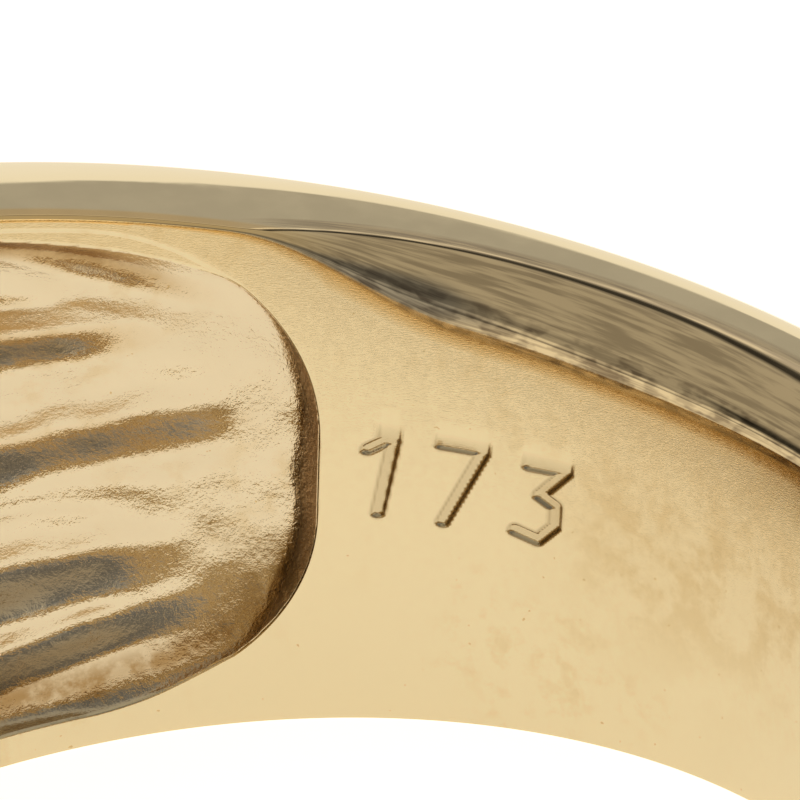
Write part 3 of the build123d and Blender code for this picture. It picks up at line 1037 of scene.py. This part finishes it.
def gold_finish():
    """Yellow gold: polished outside, finely scratched on the finger wall, orange-peel in the hollow."""
    gold = Finish("yellow_gold")
    wall, hollow = gold.attribute("finger_wall"), gold.attribute("cast_hollow")
    flank, end_wall = gold.attribute("step_flank"), gold.attribute("end_wall")
    colour = rim_painted_reflection(gold, wall_colour(gold, wall, hollow))
    gold.set("Metallic", 1.0)
    gold.set("Base Color", hollow_colour(gold, colour, flank, end_wall))

    polish = gold.spread(gold.noise(0.9, 3.0), 0.35, 0.65, *POLISHED)
    satin = gold.spread(gold.noise(0.12, 4.0), 0.3, 0.7, *SCRATCHED)
    cast = gold.spread(gold.noise(0.35, 3.0), 0.35, 0.65, *AS_CAST)
    rough = gold.blend(hollow, gold.blend(wall, polish, satin), cast)
    rough = gold.maths("MAXIMUM", rough, gold.times(flank, FLANK_ROUGHNESS))
    gold.set("Roughness", gold.maths("MAXIMUM", rough, gold.times(end_wall, END_ROUGHNESS)))

    peel = gold.times(gold.noise(0.11, 3.0, 0.7), gold.maths("ADD", hollow, gold.times(end_wall, 1.2)))
    scratch = gold.noise(0.07, 2.0, stretch=(1.0, 1.0, 6.0))
    pits = gold.times(gold.attribute("struck"), gold.noise(0.05, 2.0))
    normal = gold.bump(peel, PEEL_DEPTH)
    gold.set("Normal", gold.bump(gold.times(gold.maths("ADD", scratch, pits), wall), SCRATCH_DEPTH, normal))
    return gold.material


def stone_finish():
    """Clear colourless stone with faint inner clouding."""
    stone = Finish("clear_stone")
    stone.set("Transmission Weight", 1.0)
    stone.set("IOR", STONE_IOR)
    stone.set("Roughness", stone.spread(stone.noise(0.5, 2.0), 0.4, 0.8, 0.0, 0.04))
    return stone.material


def floor_finish():
    """Pale matt board that glows as a light table does, less so in a soft shadow round the ring's outside."""
    board = Finish("pale_board")
    far = board.add("ShaderNodeVectorMath", {0: board.place}, operation="LENGTH").outputs["Value"]
    outside = board.spread(far, SHADOW_START[0] * MM, SHADOW_START[1] * MM, 0.0, 1.0)
    near = board.spread(far, SHADOW_FADE[0] * MM, SHADOW_FADE[1] * MM, 1.0, 0.0)
    shade = board.times(board.times(outside, near), SHADOW_DEPTH)
    board.set("Base Color", board.colours(board.noise(9.0, 2.0), (0.86, 0.86, 0.86), (0.90, 0.90, 0.90)))
    board.set("Roughness", 0.9)
    board.set("Emission Color", (1, 1, 1, 1))
    board.set("Emission Strength", board.maths("SUBTRACT", FLOOR_GLOW, shade))
    return board.material


GOLD, CLEAR, BOARD = gold_finish(), stone_finish(), floor_finish()
casting(GOLD)
collets(GOLD)
grains(GOLD)
for name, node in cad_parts.items():
    if name.startswith("stone_"):
        node.data.materials.clear()
        node.data.materials.append(CLEAR)

corners = [(x * FLOOR_SIZE, y * FLOOR_SIZE, FLOOR_LEVEL) for x, y in ((-1, -1), (1, -1), (1, 1), (-1, 1))]
floor_mesh = bpy.data.meshes.new("floor")
floor_mesh.from_pydata(corners, [], [(0, 1, 2, 3)])
floor_mesh.materials.append(BOARD)
floor = bpy.data.objects.new("floor", floor_mesh)
bpy.context.scene.collection.objects.link(floor)

# The photograph's line of sight: heading, tilt, roll, distance, scale, and the bore centre's place in view
CAMERA_HEADING, CAMERA_TILT, CAMERA_ROLL = math.radians(4.0), 0.448881, -0.105751
CAMERA_DISTANCE, PIXELS_PER_MM, PICTURE_WIDTH = 62.0, 81.88134, 800
VIEW_SHIFT = (2.522142, 4.700135)
SENSOR_WIDTH = 36.0


def place_camera():
    """Camera on the photograph's line of sight, turned by its roll, with the lens that gives its scale."""
    right = np.array([math.cos(CAMERA_HEADING), math.sin(CAMERA_HEADING), 0])
    away = np.array([-math.sin(CAMERA_HEADING), math.cos(CAMERA_HEADING), 0])
    up = np.array([0, 0, 1.0])
    forward = math.cos(CAMERA_TILT) * away - math.sin(CAMERA_TILT) * up
    rise = math.sin(CAMERA_TILT) * away + math.cos(CAMERA_TILT) * up
    spot = BORE_CENTRE + VIEW_SHIFT[0] * right + VIEW_SHIFT[1] * rise - CAMERA_DISTANCE * forward
    c, s = math.cos(CAMERA_ROLL), math.sin(CAMERA_ROLL)
    data = bpy.data.cameras.new("camera")
    data.sensor_width = SENSOR_WIDTH
    data.lens = SENSOR_WIDTH * PIXELS_PER_MM * CAMERA_DISTANCE / PICTURE_WIDTH
    data.clip_start, data.clip_end = 0.01, 10.0
    camera = bpy.data.objects.new("camera", data)
    bpy.context.scene.collection.objects.link(camera)
    matrix = np.eye(4)
    matrix[:3, :3] = np.stack([c * right + s * rise, c * rise - s * right, -forward], axis=1)
    matrix[:3, 3] = spot * MM
    camera.matrix_world = Matrix(matrix.tolist())
    bpy.context.scene.camera = camera
    return -forward


# Studio: direction that the light's level is measured along, and the brightness at each level
LIGHT_SLANT = (0.24, 0.0, 1.0)
LIGHT_LEVELS = [
    (0.0, 1.0),
    (0.398, 1.0),
    (0.408, 0.44),
    (0.438, 0.44),
    (0.455, 0.86),
    (0.49, 0.86),
    (0.52, 0.30),
    (0.56, 0.06),
    (0.63, 0.06),
    (0.70, 0.50),
    (1.0, 0.46),
]
# Least brightness on the camera's side, and half the width over which it comes in
LEAST_BEHIND, BEHIND_EDGE = 0.42, 0.10
# Tint of the patch round the camera, and the closeness to the line of sight at which it starts and is full
CAMERA_SHADE, CAMERA_PATCH = (0.38, 0.41, 0.49), (0.80, 0.97)


def studio_light(to_camera):
    """Light of the studio by direction: a ramp over a slanted level, shaded round the camera.

    From the bottom up the ramp is white, then has a grey, a bright and a dark strip, and is grey overhead.
    On the camera's side it has a least brightness, so the dark strip shows on the far side alone."""
    world = bpy.data.worlds.new("studio")
    world.use_nodes = True
    bpy.context.scene.world = world
    studio = Recipe(world.node_tree)
    place = studio.add("ShaderNodeTexCoord").outputs["Generated"]
    ramp = studio.add("ShaderNodeValToRGB", {0: studio.dot(place, LIGHT_SLANT)})
    stops = ramp.color_ramp.elements
    while len(stops) < len(LIGHT_LEVELS):
        stops.new(0.5)
    for stop, (level, value) in zip(stops, LIGHT_LEVELS):
        stop.position = level
        stop.color = (value, value, value, 1)
    y = studio.add("ShaderNodeSeparateXYZ", {0: place}).outputs["Y"]
    behind = studio.spread(y, BEHIND_EDGE, -BEHIND_EDGE, 0.0, LEAST_BEHIND, "LINEAR")
    sky = studio.add("ShaderNodeVectorMath", {0: ramp.outputs[0], 1: behind}, operation="MAXIMUM").outputs[0]
    round_camera = studio.spread(studio.dot(place, to_camera), *CAMERA_PATCH, 0.0, 1.0)
    shade = studio.add("ShaderNodeMix", {0: round_camera}, data_type="VECTOR")
    shade.inputs[4].default_value = (1.0, 1.0, 1.0)
    shade.inputs[5].default_value = CAMERA_SHADE
    light = studio.add("ShaderNodeVectorMath", {0: sky, 1: shade.outputs[1]}, operation="MULTIPLY").outputs[0]
    studio.tree.links.new(light, studio.tree.nodes["Background"].inputs[0])
    studio.tree.nodes["Background"].inputs[1].default_value = 1.0


studio_light(place_camera())
bpy.context.scene.view_settings.view_transform = "Standard"
